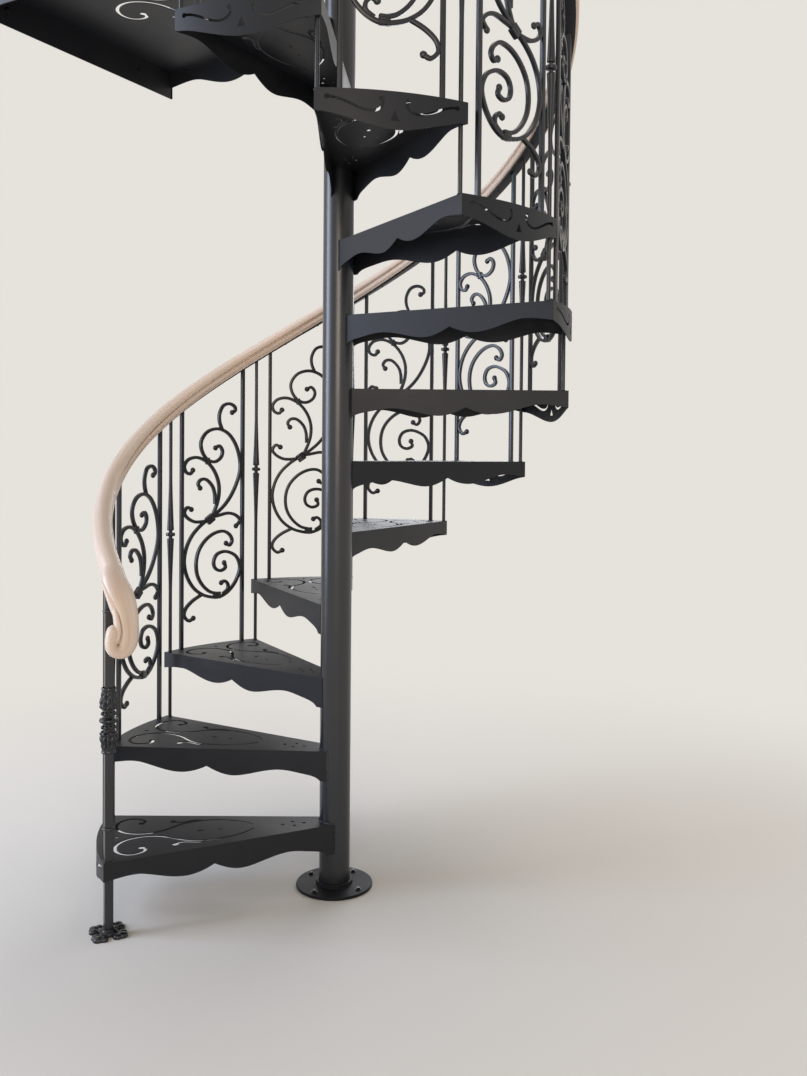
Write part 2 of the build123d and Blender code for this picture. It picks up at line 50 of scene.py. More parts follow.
# Spiral staircase of black powder-coated steel, with forged scroll panels and a pale moulded handrail.
# Metres, Z up, with the column on the Z axis. Azimuths are in degrees, anticlockwise from +X.
mm = .001
print("frame:", len(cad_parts), "nodes")


# Measures of the stair, read from its solids
def middleOf(node):
    low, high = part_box(node)
    return (low + high) / 2


def sizeOf(node):
    low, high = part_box(node)
    return high - low


def polar(radius, azimuth, z=0):
    angle = math.radians(azimuth)
    return Vector((radius * math.cos(angle), radius * math.sin(angle), z))


def azimuthOf(place):
    return math.degrees(math.atan2(place.y, place.x)) % 360


stair = SimpleNamespace(
    treads=11,
    step=30,  # degrees that each tread turns
    balusterTuck=.25,  # degrees from a tread's leading corner to its baluster
    panelStart=4.6,  # degrees from the corner to the panel's leading bar
    panelEnd=4.2,  # degrees from its trailing bar to the next corner
    halfTread=15.67,  # degrees from a tread's middle to its corner
    frontOffset=47 * mm,  # its front edge passes the column's axis at this distance
    gap=.2 * mm,
)
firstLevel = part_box("tread_01")[1].z
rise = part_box("tread_02")[1].z - firstLevel
columnRadius = sizeOf("column").x / 2
stairRadius = -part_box("tread_03")[0].x
lineRadius = middleOf("baluster_02").xy.length
leadAzimuth = azimuthOf(middleOf("baluster_02")) + stair.balusterTuck + stair.step
slope = math.atan(rise / (lineRadius * math.radians(stair.step)))
newelPlace = middleOf("newel_foot").xy
newelAzimuth = azimuthOf(newelPlace)
newelTurn = leadAzimuth - stair.step / 2 + stair.halfTread
newelTurn -= math.degrees(math.asin(stair.frontOffset / stairRadius))
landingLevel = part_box("landing")[1].z
guardY = middleOf("landing_rail").y
railWidth, railHeight = sizeOf("landing_rail").y, sizeOf("landing_rail").z
stripWidth, stripHeight = sizeOf("landing_rail_strip").y, sizeOf("landing_rail_strip").z
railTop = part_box("landing_rail")[1].z - landingLevel
barTop = railTop - (railHeight + stripHeight + stair.gap) / math.cos(slope)


def nosing(azimuth):
    return firstLevel + rise * (leadAzimuth - azimuth) / stair.step


def climbed(mesh, steps):
    copy = mesh.copy()
    turn = Matrix.Rotation(math.radians(-stair.step * steps), 4, "Z")
    copy.transform(Matrix.Translation((0, 0, rise * steps)) @ turn)
    return copy


# Materials
def linear(hexColour):
    channels = [int(hexColour[i:i + 2], 16) / 255 for i in (1, 3, 5)]
    return (*[c / 12.92 if c <= .04045 else ((c + .055) / 1.055) ** 2.4 for c in channels], 1)


def addNode(tree, kind, sockets=(), **settings):
    node = tree.nodes.new(kind)
    for name, value in settings.items():
        setattr(node, name, value)
    for key, value in dict(sockets).items():
        for source in value if isinstance(value, list) else [value]:
            if isinstance(source, bpy.types.Node):
                source = source.outputs[0]
            if isinstance(source, bpy.types.NodeSocket):
                tree.links.new(source, node.inputs[key])
            else:
                node.inputs[key].default_value = source
    return node


def emptied(owner):  # gives the function that adds a node to a material or world
    owner.use_nodes = True
    owner.node_tree.nodes.clear()
    return partial(addNode, owner.node_tree)


def endMaterial(add, shaderSockets):
    shader = add("ShaderNodeBsdfPrincipled", shaderSockets)
    add("ShaderNodeOutputMaterial", {"Surface": shader})


# Powder coat: pigment baked on as one closed film, so the steel's colour never shows. It has a soft sheen,
# a fine orange peel, and dust that dulls it in broad patches; on the flange these patches are darker than
# the coat instead, as painted shade.
coat = {"colour": "#1c1e23", "dust": "#25262a", "dustFrom": .45, "dustTo": .8, "peel": 2.2 * mm,
        "patch": 260 * mm, "rough": (.42, .52), "bump": .03 * mm, "gloss": .32}


def powderCoat(name, **changes):
    look = coat | changes
    material = bpy.data.materials.new(name)
    add = emptied(material)
    place = add("ShaderNodeTexCoord").outputs["Object"]
    patch = add("ShaderNodeTexNoise", {
        "Vector": place, "Scale": 1 / look["patch"], "Detail": 5, "Roughness": .6})
    dust = add("ShaderNodeMapRange", {
        "Value": patch, "From Min": look["dustFrom"], "From Max": look["dustTo"]})
    tint = add("ShaderNodeMix", {
        0: dust, 6: linear(look["colour"]), 7: linear(look["dust"])}, data_type="RGBA")
    rough = add("ShaderNodeMapRange", {
        "Value": patch, "From Min": .3, "From Max": .7,
        "To Min": look["rough"][0], "To Max": look["rough"][1]})
    # real orange peel is about 1 mm across; it is drawn about twice as coarse to show at all
    peel = add("ShaderNodeTexNoise", {"Vector": place, "Scale": 1 / look["peel"], "Detail": 2})
    bump = add("ShaderNodeBump", {"Height": peel, "Distance": look["bump"]})
    endMaterial(add, {"Base Color": tint.outputs[2], "Roughness": rough, "Normal": bump, "IOR": 1.5,
                      "Specular IOR Level": look["gloss"]})
    return material


# Maple or beech, turned and sanded, under one thin coat of clear sealer: pale and pinkish, with faint long
# grain, short darker flecks and a low soft gloss
wood = {"pale": "#ead9ca", "deep": "#dac0ab", "fleck": "#bd9e84", "band": 17 * mm, "bandLength": 480 * mm,
        "fleckWidth": 2.4 * mm, "fleckLength": 46 * mm, "fleckShare": .2, "pore": -.008 * mm,
        "sealer": .18, "sealerRough": .22, "rough": (.36, .5)}


def railWood(name, look):
    material = bpy.data.materials.new(name)
    add = emptied(material)
    place = add("ShaderNodeUVMap", uv_map="UVMap").outputs[0]
    # the UV map is in metres: x along the rail, y round it
    banded = add("ShaderNodeMapping", {
        "Vector": place, "Scale": (1 / look["bandLength"], 1 / look["band"], 1)})
    band = add("ShaderNodeTexNoise", {
        "Vector": banded, "Scale": 1, "Detail": 6, "Roughness": .62, "Distortion": .35})
    flecked = add("ShaderNodeMapping", {
        "Vector": place, "Scale": (1 / look["fleckLength"], 1 / look["fleckWidth"], 1)})
    fleck = add("ShaderNodeTexNoise", {"Vector": flecked, "Scale": 1, "Detail": 2})
    share = add("ShaderNodeMapRange", {"Value": band, "From Min": .34, "From Max": .68})
    body = add("ShaderNodeMix", {
        0: share, 6: linear(look["pale"]), 7: linear(look["deep"])}, data_type="RGBA")
    dark = add("ShaderNodeMapRange", {
        "Value": fleck, "From Min": .6, "From Max": .8, "To Max": look["fleckShare"]})
    tint = add("ShaderNodeMix", {0: dark, 6: body.outputs[2], 7: linear(look["fleck"])}, data_type="RGBA")
    rough = add("ShaderNodeMapRange", {
        "Value": band, "To Min": look["rough"][0], "To Max": look["rough"][1]})
    bump = add("ShaderNodeBump", {"Height": fleck, "Distance": look["pore"]})
    endMaterial(add, {"Base Color": tint.outputs[2], "Roughness": rough, "Normal": bump, "IOR": 1.5,
                      "Coat Weight": look["sealer"], "Coat Roughness": look["sealerRough"]})
    return material


# Forged bar keeps shallow hammer marks under its coat; a casting keeps the grain of its sand mould
frameCoat = powderCoat("mattPowderCoatedPlate")
tubeCoat = powderCoat("satinPowderCoatedTube", rough=(.26, .33), gloss=.7, bump=.015 * mm)
forgedCoat = powderCoat("powderCoatedForgedBar", rough=(.26, .34), gloss=.5, bump=.04 * mm,
                        peel=12 * mm, patch=120 * mm)
castCoat = powderCoat("paintedIronCasting", rough=(.22, .32), gloss=.5, bump=.1 * mm, peel=2.6 * mm)
# painted shade: the flange's patches are near-black, darker than its coat, where the other plates have
# pale dust
flangeCoat = powderCoat("mattPowderCoatedFlange", rough=(.46, .56), gloss=.16, dust="#151517")
zincCoat = powderCoat("blackZincBolt", rough=(.22, .34), colour="#191a1c", peel=3 * mm)
beadCoat = powderCoat("powderCoatedWeld", rough=(.24, .34), bump=.1 * mm)
maple = railWood("sealedPaleHardwood", wood)
print("materials done")


# Making pieces
def newObject(data, name="carrier"):
    thing = bpy.data.objects.new(name, data)
    bpy.context.scene.collection.objects.link(thing)
    return thing


def addPiece(name, mesh, material, slot, *nodes, crease=32):
    mesh.name = name
    mesh.materials.clear()
    mesh.materials.append(material)
    if crease:  # a mesh that comes with its own normals has none
        mesh.shade_smooth()
        mesh.set_sharp_from_angle(angle=math.radians(crease))
    piece = newObject(mesh, name)
    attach(piece, "root")
    if nodes:
        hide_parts(*nodes)
    return piece


def addOnTreads(name, node, mesh, material, slot, first=1, count=stair.treads, crease=32):
    for number in range(count):
        tag = f"_{first + number:02d}"
        addPiece(name + tag, climbed(mesh, number), material, slot, node + tag, crease=crease)


def toMesh(work, name="piece"):
    bmesh.ops.recalc_face_normals(work, faces=work.faces)
    mesh = bpy.data.meshes.new(name)
    work.to_mesh(mesh)
    work.free()
    return mesh


def skin(rings, runs=None, loop=False):  # a surface over rows of points; runs are each row's way along
    work = bmesh.new()
    uv = work.loops.layers.uv.new("UVMap")
    rows = [[work.verts.new(point) for point in ring] for ring in rings]
    count = len(rings[0])
    girth = [0]
    for i in range(count):
        girth.append(girth[-1] + (rings[0][(i + 1) % count] - rings[0][i]).length)
    pairs = list(zip(range(len(rows) - 1), range(1, len(rows))))
    if loop:
        pairs.append((len(rows) - 1, 0))
    for low, high in pairs:
        for i in range(count):
            j = (i + 1) % count
            face = work.faces.new((rows[low][i], rows[low][j], rows[high][j], rows[high][i]))
            if runs:
                places = ((low, i), (low, i + 1), (high, i + 1), (high, i))
                for corner, (row, step) in zip(face.loops, places):
                    corner[uv].uv = (runs[row], girth[step])
    if not loop:
        work.faces.new(reversed(rows[0]))
        work.faces.new(rows[-1])
    return toMesh(work)


def lathe(profile, segments=48, loop=False):  # profile points are (radius, height)
    turns = [math.tau * i / segments for i in range(segments)]
    rings = [[Vector((r * math.cos(t), r * math.sin(t), z)) for t in turns] for r, z in profile]
    return skin(rings, loop=loop)


def roundedSquare(width, depth, corner, steps=3):
    points = []
    for quarter, (x, y) in enumerate(((1, 1), (-1, 1), (-1, -1), (1, -1))):
        for step in range(steps + 1):
            angle = math.radians(90 * (quarter + step / steps))
            points.append(Vector((x * (width / 2 - corner) + corner * math.cos(angle),
                                  y * (depth / 2 - corner) + corner * math.sin(angle), 0)))
    return points


def turnedSquare(turn, size, corner, steps=3):
    matrix = Matrix.Rotation(math.radians(turn), 3, "Z")
    return [matrix @ point for point in roundedSquare(size, size, corner, steps)]


def moved(mesh, place, turn=0):
    mesh.transform(Matrix.Translation(place) @ Matrix.Rotation(math.radians(turn), 4, "Z"))
    return mesh


def joined(meshes):
    work = bmesh.new()
    for mesh in meshes:
        work.from_mesh(mesh)
    return toMesh(work)


def underRail(azimuth, place):  # height of the strip's underside over a place near that azimuth
    uphill = polar(1, azimuth - 90)
    along = (Vector((place.x, place.y, 0)) - polar(lineRadius, azimuth)).dot(uphill)
    return nosing(azimuth) + barTop - stair.gap + along * math.tan(slope)


def squareBar(place, turn, size, low, topAt, ease):
    foot = [Vector((place.x + p.x, place.y + p.y, low)) for p in turnedSquare(turn, size, ease)]
    return skin([foot, [Vector((p.x, p.y, topAt(p))) for p in foot]])


def eased(values, t):  # Catmull-Rom through a list of vectors
    i = min(int(t), len(values) - 2)
    s = t - i
    a, b, c, d = (values[max(0, min(i + step, len(values) - 1))] for step in (-1, 0, 1, 2))
    return .5 * (2 * b + (c - a) * s + (2 * a - 5 * b + 4 * c - d) * s ** 2
                 + (3 * b - a - 3 * c + d) * s ** 3)


# Geometry Nodes
def newTree(name, **inputs):
    tree = bpy.data.node_groups.new(name, "GeometryNodeTree")
    tree.interface.new_socket("Geometry", in_out="INPUT", socket_type="NodeSocketGeometry")
    for label, kind in (inputs | {"Material": "Material"}).items():
        tree.interface.new_socket(label, in_out="INPUT", socket_type="NodeSocket" + kind)
    tree.interface.new_socket("Geometry", in_out="OUTPUT", socket_type="NodeSocketGeometry")
    add = partial(addNode, tree)
    return add, add("NodeGroupInput").outputs


def endTree(add, geometry, given):
    real = add("GeometryNodeRealizeInstances", {0: geometry})
    painted = add("GeometryNodeSetMaterial", {0: real, "Material": given["Material"]})
    return add("NodeGroupOutput", {0: painted}).id_data


def plainMesh(carrier):  # what a carrier's modifiers give, as a mesh of its own
    bpy.context.view_layer.update()
    graph = bpy.context.evaluated_depsgraph_get()
    mesh = bpy.data.meshes.new_from_object(carrier.evaluated_get(graph), depsgraph=graph)
    carrier.modifiers.clear()
    bpy.data.objects.remove(carrier)
    return mesh


def grown(tree, carrier, **values):  # runs a tree on a carrier object and gives back the plain mesh
    modifier = carrier.modifiers.new("grow", "NODES")
    modifier.node_group = tree
    for item in tree.interface.items_tree:
        if item.in_out == "INPUT" and item.name in values:
            modifier[item.identifier] = values[item.name]
    return plainMesh(carrier)


def lineCarrier(lines, closed=False):  # a curve object of straight-run splines
    data = bpy.data.curves.new("lines", "CURVE")
    data.dimensions = "3D"
    for line in lines:
        spline = data.splines.new("POLY")
        spline.points.add(len(line) - 1)
        for point, place in zip(spline.points, line):
            point.co = (*place, 1)
        spline.use_cyclic_u = closed
    return newObject(data)


# Handrail: one moulding all the way up, a rounded crown over a groove and a lower bead on each side
moulding = SimpleNamespace(
    crown=21.7 * mm, lip=3.5 * mm, lipStep=.6 * mm, lipRise=1.2 * mm, waist=8 * mm, groove=9 * mm,
    grooveShape=.7, grooveLean=1.6 * mm, bead=4 * mm, foot=2.5 * mm, crownSteps=24, curveSteps=8,
    pointsPerTurn=240)
# degrees from the newel and from the last baluster
railEnds = SimpleNamespace(newel=3, stripNewel=1.4, top=2.5)


def mouldingOutline():  # closed, from the middle of the underside round by the outer side
    m, half, top = moulding, railWidth / 2, railHeight / 2
    shoulder = top - m.crown
    high = shoulder - m.lip
    low = high - m.waist
    side = [(half - m.foot, -top)]
    for i in range(m.curveSteps + 1):  # lower bead
        t = i / m.curveSteps
        y = -top + m.foot + t * (low + top - m.foot)
        side.append((half - m.bead * (2 * t - 1) ** 2, y))
    for i in range(1, m.curveSteps * 2):  # groove
        t = i / (m.curveSteps * 2)
        depth = m.groove * math.sin(math.pi * t) ** m.grooveShape + m.grooveLean * (1 - t)
        side.append((half - depth, low + (high - low) * t))
    side += [(half - m.lipStep, high), (half, high + m.lipRise), (half, shoulder)]
    radius = (half ** 2 + m.crown ** 2) / (2 * m.crown)
    sweep = math.asin(half / radius)
    crown = []
    for i in range(1, m.crownSteps):
        angle = sweep * (1 - 2 * i / m.crownSteps)
        crown.append((radius * math.sin(angle), top - radius + radius * math.cos(angle)))
    return [(0, -top)] + side + crown + [(-x, y) for x, y in reversed(side)]


outlinePoints = mouldingOutline()
railStart = newelAzimuth + railEnds.newel
stripStart = newelAzimuth + railEnds.stripNewel
railEnd = azimuthOf(middleOf("baluster_12")) - railEnds.top
railEnd = railEnd - 360 if railEnd > 180 else railEnd
railMiddle = railTop - railHeight / 2 / math.cos(slope)


def railTree():
    add, given = newTree("helicalMoulding", Radius="Float", Turns="Float", Height="Float",
                         Resolution="Int", Outline="Object")
    spiral = add("GeometryNodeCurveSpiral", {
        "Resolution": given["Resolution"], "Rotations": given["Turns"], "Start Radius": given["Radius"],
        "End Radius": given["Radius"], "Height": given["Height"], "Reverse": False})
    upright = add("GeometryNodeSetCurveNormal", {0: spiral}, mode="Z_UP")
    outline = add("GeometryNodeObjectInfo", {0: given["Outline"]})
    along = add("GeometryNodeSplineParameter").outputs["Length"]
    measured = []
    for curve in (upright.outputs[0], outline.outputs["Geometry"]):
        kept = add("GeometryNodeCaptureAttribute", {0: curve})
        kept.capture_items.new("FLOAT", "run")
        kept.id_data.links.new(along, kept.inputs[1])
        measured.append(kept.outputs)
    rail, girth = measured
    body = add("GeometryNodeCurveToMesh", {
        "Curve": rail[0], "Profile Curve": girth[0], "Fill Caps": True})
    place = add("ShaderNodeCombineXYZ", {0: rail[1], 1: girth[1]})
    mapped = add("GeometryNodeStoreNamedAttribute", {
        0: body, "Name": "UVMap", "Value": place}, data_type="FLOAT2", domain="CORNER")
    return endTree(add, mapped, given)


helicalMoulding = railTree()


def helixMesh(points, start, end, material):
    outline = lineCarrier([[(x, -y, 0) for x, y in points]], closed=True)
    mesh = grown(helicalMoulding, lineCarrier([[(0, 0, 0), (0, 0, 1)]]), Radius=lineRadius,
                 Turns=(start - end) / 360, Height=rise * (start - end) / stair.step,
                 Resolution=moulding.pointsPerTurn, Outline=outline, Material=material)
    bpy.data.objects.remove(outline)
    return moved(mesh, Vector((0, 0, nosing(start) + railMiddle)), start)


strip = SimpleNamespace(ease=1 * mm, drop=railHeight / 2 + stair.gap + stripHeight / 2)
stripOutline = [(p.x, p.y - strip.drop) for p in roundedSquare(stripWidth, stripHeight, strip.ease)]
addPiece("moulded_handrail", helixMesh(outlinePoints, railStart, railEnd, maple), maple, "handrail_wood",
         "handrail")
addPiece("strip_under_rail", helixMesh(stripOutline, stripStart, railEnd, frameCoat), frameCoat,
         "structure_steel", "rail_strip")
print("handrail done")

# Volute: the moulding turns down past the newel and broadens, and its end doubles back up in a rounded
# curl. Each place is (onward, outward, upward, width, thickness) in millimetres from the rail's end
volute = SimpleNamespace(
    places=[
        (0, 0, 0, 58, 54), (14, .3, -8.6, 59.5, 54), (31, 4, -19, 65, 54), (55, 7, -37, 72, 55),
        (79, 1, -66, 78, 56), (93, -5, -95, 77, 56), (100, -11, -122, 71, 56),
        (104, -15, -150, 65, 55), (105, -17, -178, 62, 54), (105, -14, -204, 60, 53),
        (105, -3, -224, 52, 52), (105, 14, -229, 38, 50), (105, 28, -221, 33, 48),
        (105, 32, -205, 32, 46), (105, 30, -188, 34, 45), (105, 27, -171, 33, 42),
        (105, 25.5, -160, 25, 34), (105, 25, -153, 9, 14),
    ],
    ridge=[  # joins the curl to the leg, on the left of the groove
        (98, 27, -84, 2, 4), (101, 24.5, -97, 7, 12), (104, 21.5, -111, 11, 20),
        (106.5, 19, -125, 14, 26), (109, 16.5, -139, 16.5, 30), (110.5, 14.5, -154, 18, 31),
        (110.5, 14, -170, 18, 32), (109.5, 15, -186, 16, 31), (108, 18, -199, 13, 27),
        (106, 22, -209, 8, 18),
    ],
    stepsBetween=8,
    sides=40,
    squareness=2.3,  # 2 is a true oval
    plainFrom=3.2,  # the place by which the moulding has faded into a soft oval
    grooveDepth=9.5 * mm,
    grooveReach=5 * mm,
    grooveAngles=[-8, -8, -4, 4, 20, 33, 35, 32, 29, 22, 18],  # degrees over the outer side
    grooveEnd=9.2,
    grooveFade=.5,
)


def sweptAlong(places, sections, start, axes, firstAhead):  # a skin over a path of places
    between = volute.stepsBetween
    total = (len(places) - 1) * between
    centres = [start + (axes[0] * a + axes[1] * o + axes[2] * z) * mm for a, o, z, _, _ in places]
    sizes = [Vector((w * mm, d * mm, 0)) for _, _, _, w, d in places]
    middles = [eased(centres, i / between) for i in range(total + 1)]
    rings, runs, run = [], [], 0
    across = axes[1]
    for i, middle in enumerate(middles):
        ahead = firstAhead if i == 0 else middles[min(i + 1, total)] - middles[i - 1]
        across = (across - ahead.normalized() * across.dot(ahead.normalized())).normalized()
        face = across.cross(ahead.normalized())
        section = sections(i / between, eased(sizes, i / between))
        rings.append([middle + across * x + face * y for x, y in section])
        run -= (middle - middles[i - 1]).length if i else 0
        runs.append(run)
    return skin(rings, runs)


def softOval(angle, size):
    x, y, power = math.cos(angle), math.sin(angle), volute.squareness
    reach = 1 / (abs(x) ** power + abs(y) ** power) ** (1 / power)
    return x * reach * size.x / 2, y * reach * size.y / 2


def grooveAt(t):
    near = min(int(t), len(volute.grooveAngles) - 2)
    low, high = volute.grooveAngles[near:near + 2]
    return math.radians(low + (high - low) * min(1, t - near))


def voluteSection(t, size):  # the moulding, faded into a soft oval with one groove
    corners = []
    for (x, y), (u, v) in zip(outlinePoints, outlinePoints[1:] + outlinePoints[:1]):
        corners += [(-x, y), (-(x + u) / 2, (y + v) / 2)]  # inner side first, as the rail's pattern runs
    fade = min(1, t / volute.plainFrom)
    fade = fade * fade * (3 - 2 * fade)
    left = min(1, max(0, 1 - (t - volute.grooveEnd) / volute.grooveFade))
    points = []
    for x, y in corners:
        angle = math.atan2(y / railHeight, x / railWidth)
        roundX, roundY = softOval(angle, size)
        px = x * size.x / railWidth * (1 - fade) + roundX * fade
        py = y * size.y / railHeight * (1 - fade) + roundY * fade
        cut = (angle - grooveAt(t)) * size.x / 2
        depth = volute.grooveDepth * fade * left * math.exp(-(cut / volute.grooveReach) ** 2)
        scale = 1 - depth / math.hypot(px, py)
        points.append((px * scale, py * scale))
    return points


def ridgeSection(t, size):
    return [softOval(math.tau * i / volute.sides, size) for i in range(volute.sides)]


def voluteMesh():
    start = polar(lineRadius, railStart, nosing(railStart) + railMiddle)
    axes = polar(1, railStart + 90), polar(1, railStart), Vector((0, 0, 1))
    downhill = axes[0] * math.cos(slope) - axes[2] * math.sin(slope)
    body = sweptAlong(volute.places, voluteSection, start, axes, downhill)
    return joined([body, sweptAlong(volute.ridge, ridgeSection, start, axes, -axes[2])])


addPiece("handrail_drop_volute", voluteMesh(), maple, "handrail_wood", "handrail_volute", crease=50)
print("volute done")

# Scroll panels: x runs from the leading bar to the trailing bar, y is the height above the tread, in
# millimetres, on a panel of the drawn size
panel = SimpleNamespace(
    drawnWidth=273.7, drawnHeight=871.4, bar=13.2 * mm, barEase=1 * mm,
    scroll=12.2 * mm, scrollEase=2 * mm, knob=21 * mm, knobDepth=15 * mm, step=4 * mm,
    topScroll=[(180, 836), (167, 868), (166, 900), (182, 932), (210, 942), (235, 932), (238, 916),
               (224, 908)],
    scrolls=[
        [(125, 492), (195, 549), (240, 616), (263, 690), (249, 765), (212, 820), (162, 842), (112, 830),
         (84, 792), (89, 752), (113, 722), (145, 714), (172, 730), (180, 756), (166, 776), (148, 768)],
        [(133, 500), (152, 540), (164, 583), (163, 630), (145, 675), (113, 711), (70, 730), (31, 724),
         (11, 700), (17, 676), (36, 668), (48, 682)],
        [(147, 550), (145, 590), (134, 620), (109, 644), (85, 646), (71, 630), (80, 613)],
        [(128, 490), (96, 484), (57, 484), (26, 499), (11, 520), (24, 540), (42, 532)],
        [(140, 500), (165, 505), (205, 512), (240, 504), (262.5, 482), (244, 460)],
        [(108, 486), (75, 462), (44, 430), (21, 387), (11, 334), (22, 280), (50, 233), (88, 203),
         (128, 189), (169, 186), (209, 204), (244, 242), (263, 292), (250, 333), (222, 354), (188, 362),
         (156, 352), (142, 326), (148, 300), (172, 288), (195, 298), (190, 318)],
        [(160, 200), (124, 210), (90, 240), (68, 281), (64, 331), (77, 376), (107, 413), (145, 436),
         (185, 442), (214, 427), (226, 403), (214, 385), (198, 394)],
        [(88, 201), (50, 182), (20, 156), (11.5, 128), (31, 106), (52, 114)],
        [(184, 196), (206, 212), (207, 232), (192, 246), (177, 240)],
    ],
    collars=[(125, 492, 34, 30, 35), (113, 717, 20, 22, 20), (157, 193, 30, 26, 0)],
    # a collar is (x, y, width, height, tilt), and its profile (share of its height, swell)
    collarDepth=16.5 * mm, collarEase=2.5 * mm,
    collarProfile=[(-.5, -1.4), (-.46, 0), (-.2, 0), (-.165, -1.3), (-.13, 0), (.13, 0), (.165, -1.3),
                   (.2, 0), (.46, 0), (.5, -1.4)],
)
panelAzimuths = leadAzimuth - stair.panelStart, leadAzimuth - stair.step + stair.panelEnd
panelFeet = [polar(lineRadius, azimuth) for azimuth in panelAzimuths]
panelTurn = azimuthOf(panelFeet[1] - panelFeet[0])
panelWidth = (panelFeet[1] - panelFeet[0]).length
widen = panelWidth / mm / panel.drawnWidth
raised = barTop / mm / panel.drawnHeight


def forgedTree():
    add, given = newTree("forgedScrolls", Bar="Float", Ease="Float", Step="Float", Knob="Float",
                         KnobDepth="Float")
    curved = add("GeometryNodeCurveSplineType", {0: given["Geometry"]}, spline_type="CATMULL_ROM")
    even = add("GeometryNodeResampleCurve", {0: curved, "Length": given["Step"]}, mode="LENGTH")
    square = add("GeometryNodeCurvePrimitiveQuadrilateral", {
        "Width": given["Bar"], "Height": given["Bar"]})
    soft = add("GeometryNodeFilletCurve", {0: square, "Radius": given["Ease"], "Count": 2}, mode="POLY")
    bars = add("GeometryNodeCurveToMesh", {0: even, 1: soft, "Fill Caps": True})
    tips = add("GeometryNodeCurveEndpointSelection", {"Start Size": 0, "End Size": 1})
    ball = add("GeometryNodeMeshUVSphere", {"Segments": 20, "Rings": 12, "Radius": .5})
    size = add("ShaderNodeCombineXYZ", {0: given["Knob"], 1: given["Knob"], 2: given["KnobDepth"]})
    knobs = add("GeometryNodeInstanceOnPoints", {
        0: even, "Selection": tips, "Instance": ball, "Scale": size})
    return endTree(add, add("GeometryNodeJoinGeometry", {0: [bars, knobs]}), given)


forgedScrolls = forgedTree()


def collarMesh(x, y, width, height, tilt):
    rows = []
    for share, swell in panel.collarProfile:
        depth = panel.collarDepth + swell * mm
        outline = roundedSquare((width + swell) * mm, depth, panel.collarEase)
        rows.append([Vector((p.x, share * height * mm, p.y)) for p in outline])
    return moved(skin(rows), Vector((x * widen * mm, y * raised * mm, 0)), tilt)


def scrollwork(outlines):  # flat, in the panel's own plane
    lines = [[(x * widen * mm, y * raised * mm, 0) for x, y in outline] for outline in outlines]
    bars = grown(forgedScrolls, lineCarrier(lines), Bar=panel.scroll, Ease=panel.scrollEase,
                 Step=panel.step, Knob=panel.knob, KnobDepth=panel.knobDepth, Material=forgedCoat)
    return joined([bars] + [collarMesh(*collar) for collar in panel.collars])


def panelMesh(outlines, feet, level, turn, topsAt):  # scrollwork set upright between two square bars
    work = scrollwork(outlines)
    along = (feet[1] - feet[0]).normalized()
    up = Vector((0, 0, 1))
    matrix = Matrix((along, up, along.cross(up))).transposed().to_4x4()
    matrix.translation = Vector((feet[0].x, feet[0].y, level))
    work.transform(matrix)
    low = level + stair.gap
    return joined([work] + [squareBar(foot, turn, panel.bar, low, topAt, panel.barEase)
                            for foot, topAt in zip(feet, topsAt)])


firstPanel = panelMesh([panel.topScroll] + panel.scrolls, panelFeet, firstLevel, panelTurn, [
    lambda place, azimuth=azimuth: underRail(azimuth, place) for azimuth in panelAzimuths])
addOnTreads("forged_panel", "scroll_panel", firstPanel, forgedCoat, "balustrade_steel")
print("scroll panels done:", len(firstPanel.polygons), "faces each")

# Balusters: round bar with two long flares that meet at a ring; millimetres
baluster = SimpleNamespace(
    bar=12.7, flare=25, flareLength=190, flareSteps=8, flareCurve=.45, lip=6,
    lipProfile=[(.2, -3), (-.8, -1), (-3, 0)],  # (outward from the flare, upward from its end)
    neck=14, neckLength=8, neckEase=.6, ring=34, ringHeight=13, ringEase=4.5, ringSteps=4,
    knuckle=437, sides=32,
)


def balusterProfile(foot, knuckle):  # the lower half, heights above the foot of the upper tread
    b = baluster
    rod, flare, neck, ring = b.bar / 2, b.flare / 2, b.neck / 2, b.ring / 2
    ringFoot = knuckle - b.ringHeight / 2
    top = ringFoot - b.neckLength
    half = [(rod, foot), (rod, top - b.flareLength)]
    for i in range(1, b.flareSteps + 1):  # the flare swells slowly, then faster
        t = i / b.flareSteps
        swell = (flare - rod) * ((1 - b.flareCurve) * t + b.flareCurve * t ** 2)
        half.append((rod + swell, top - b.lip - (b.flareLength - b.lip) * (1 - t)))
    half += [(flare + out, top + up) for out, up in b.lipProfile]
    half += [(neck, top + b.neckEase), (neck, ringFoot - b.neckEase)]
    for i in range(b.ringSteps + 1):
        angle = math.radians(90 * i / b.ringSteps)
        half.append((ring - b.ringEase * (1 - math.sin(angle)),
                     ringFoot + b.ringEase * (1 - math.cos(angle))))
    return half


def balusterMesh(place, foot, knuckle, topAt):
    profile = [(r * mm, z * mm) for r, z in balusterProfile(foot / mm, knuckle / mm)]
    profile += [(r, 2 * knuckle - z) for r, z in reversed(profile)]
    mesh = moved(lathe(profile, baluster.sides), Vector((place.x, place.y, 0)))
    highest = max(vertex.co.z for vertex in mesh.vertices)
    for vertex in mesh.vertices:
        if vertex.co.z > highest - 1 * mm:
            vertex.co.z = topAt(vertex.co)
    return mesh


secondAzimuth = leadAzimuth - stair.step - stair.balusterTuck
firstBaluster = balusterMesh(polar(lineRadius, secondAzimuth), firstLevel + stair.gap,
                             firstLevel + rise + baluster.knuckle * mm,
                             lambda place: underRail(secondAzimuth, place))
addOnTreads("turned_baluster", "baluster", firstBaluster, forgedCoat, "balustrade_steel", first=2)
print("balusters done")

# Plates: the solids' own shapes, with their sharp edges broken as a grinder leaves them
plates = SimpleNamespace(
    edge=.7 * mm, flangeEdge=2.2 * mm, segments=2,
    flatWithin=1, bevelFrom=40,  # degrees between two faces
)


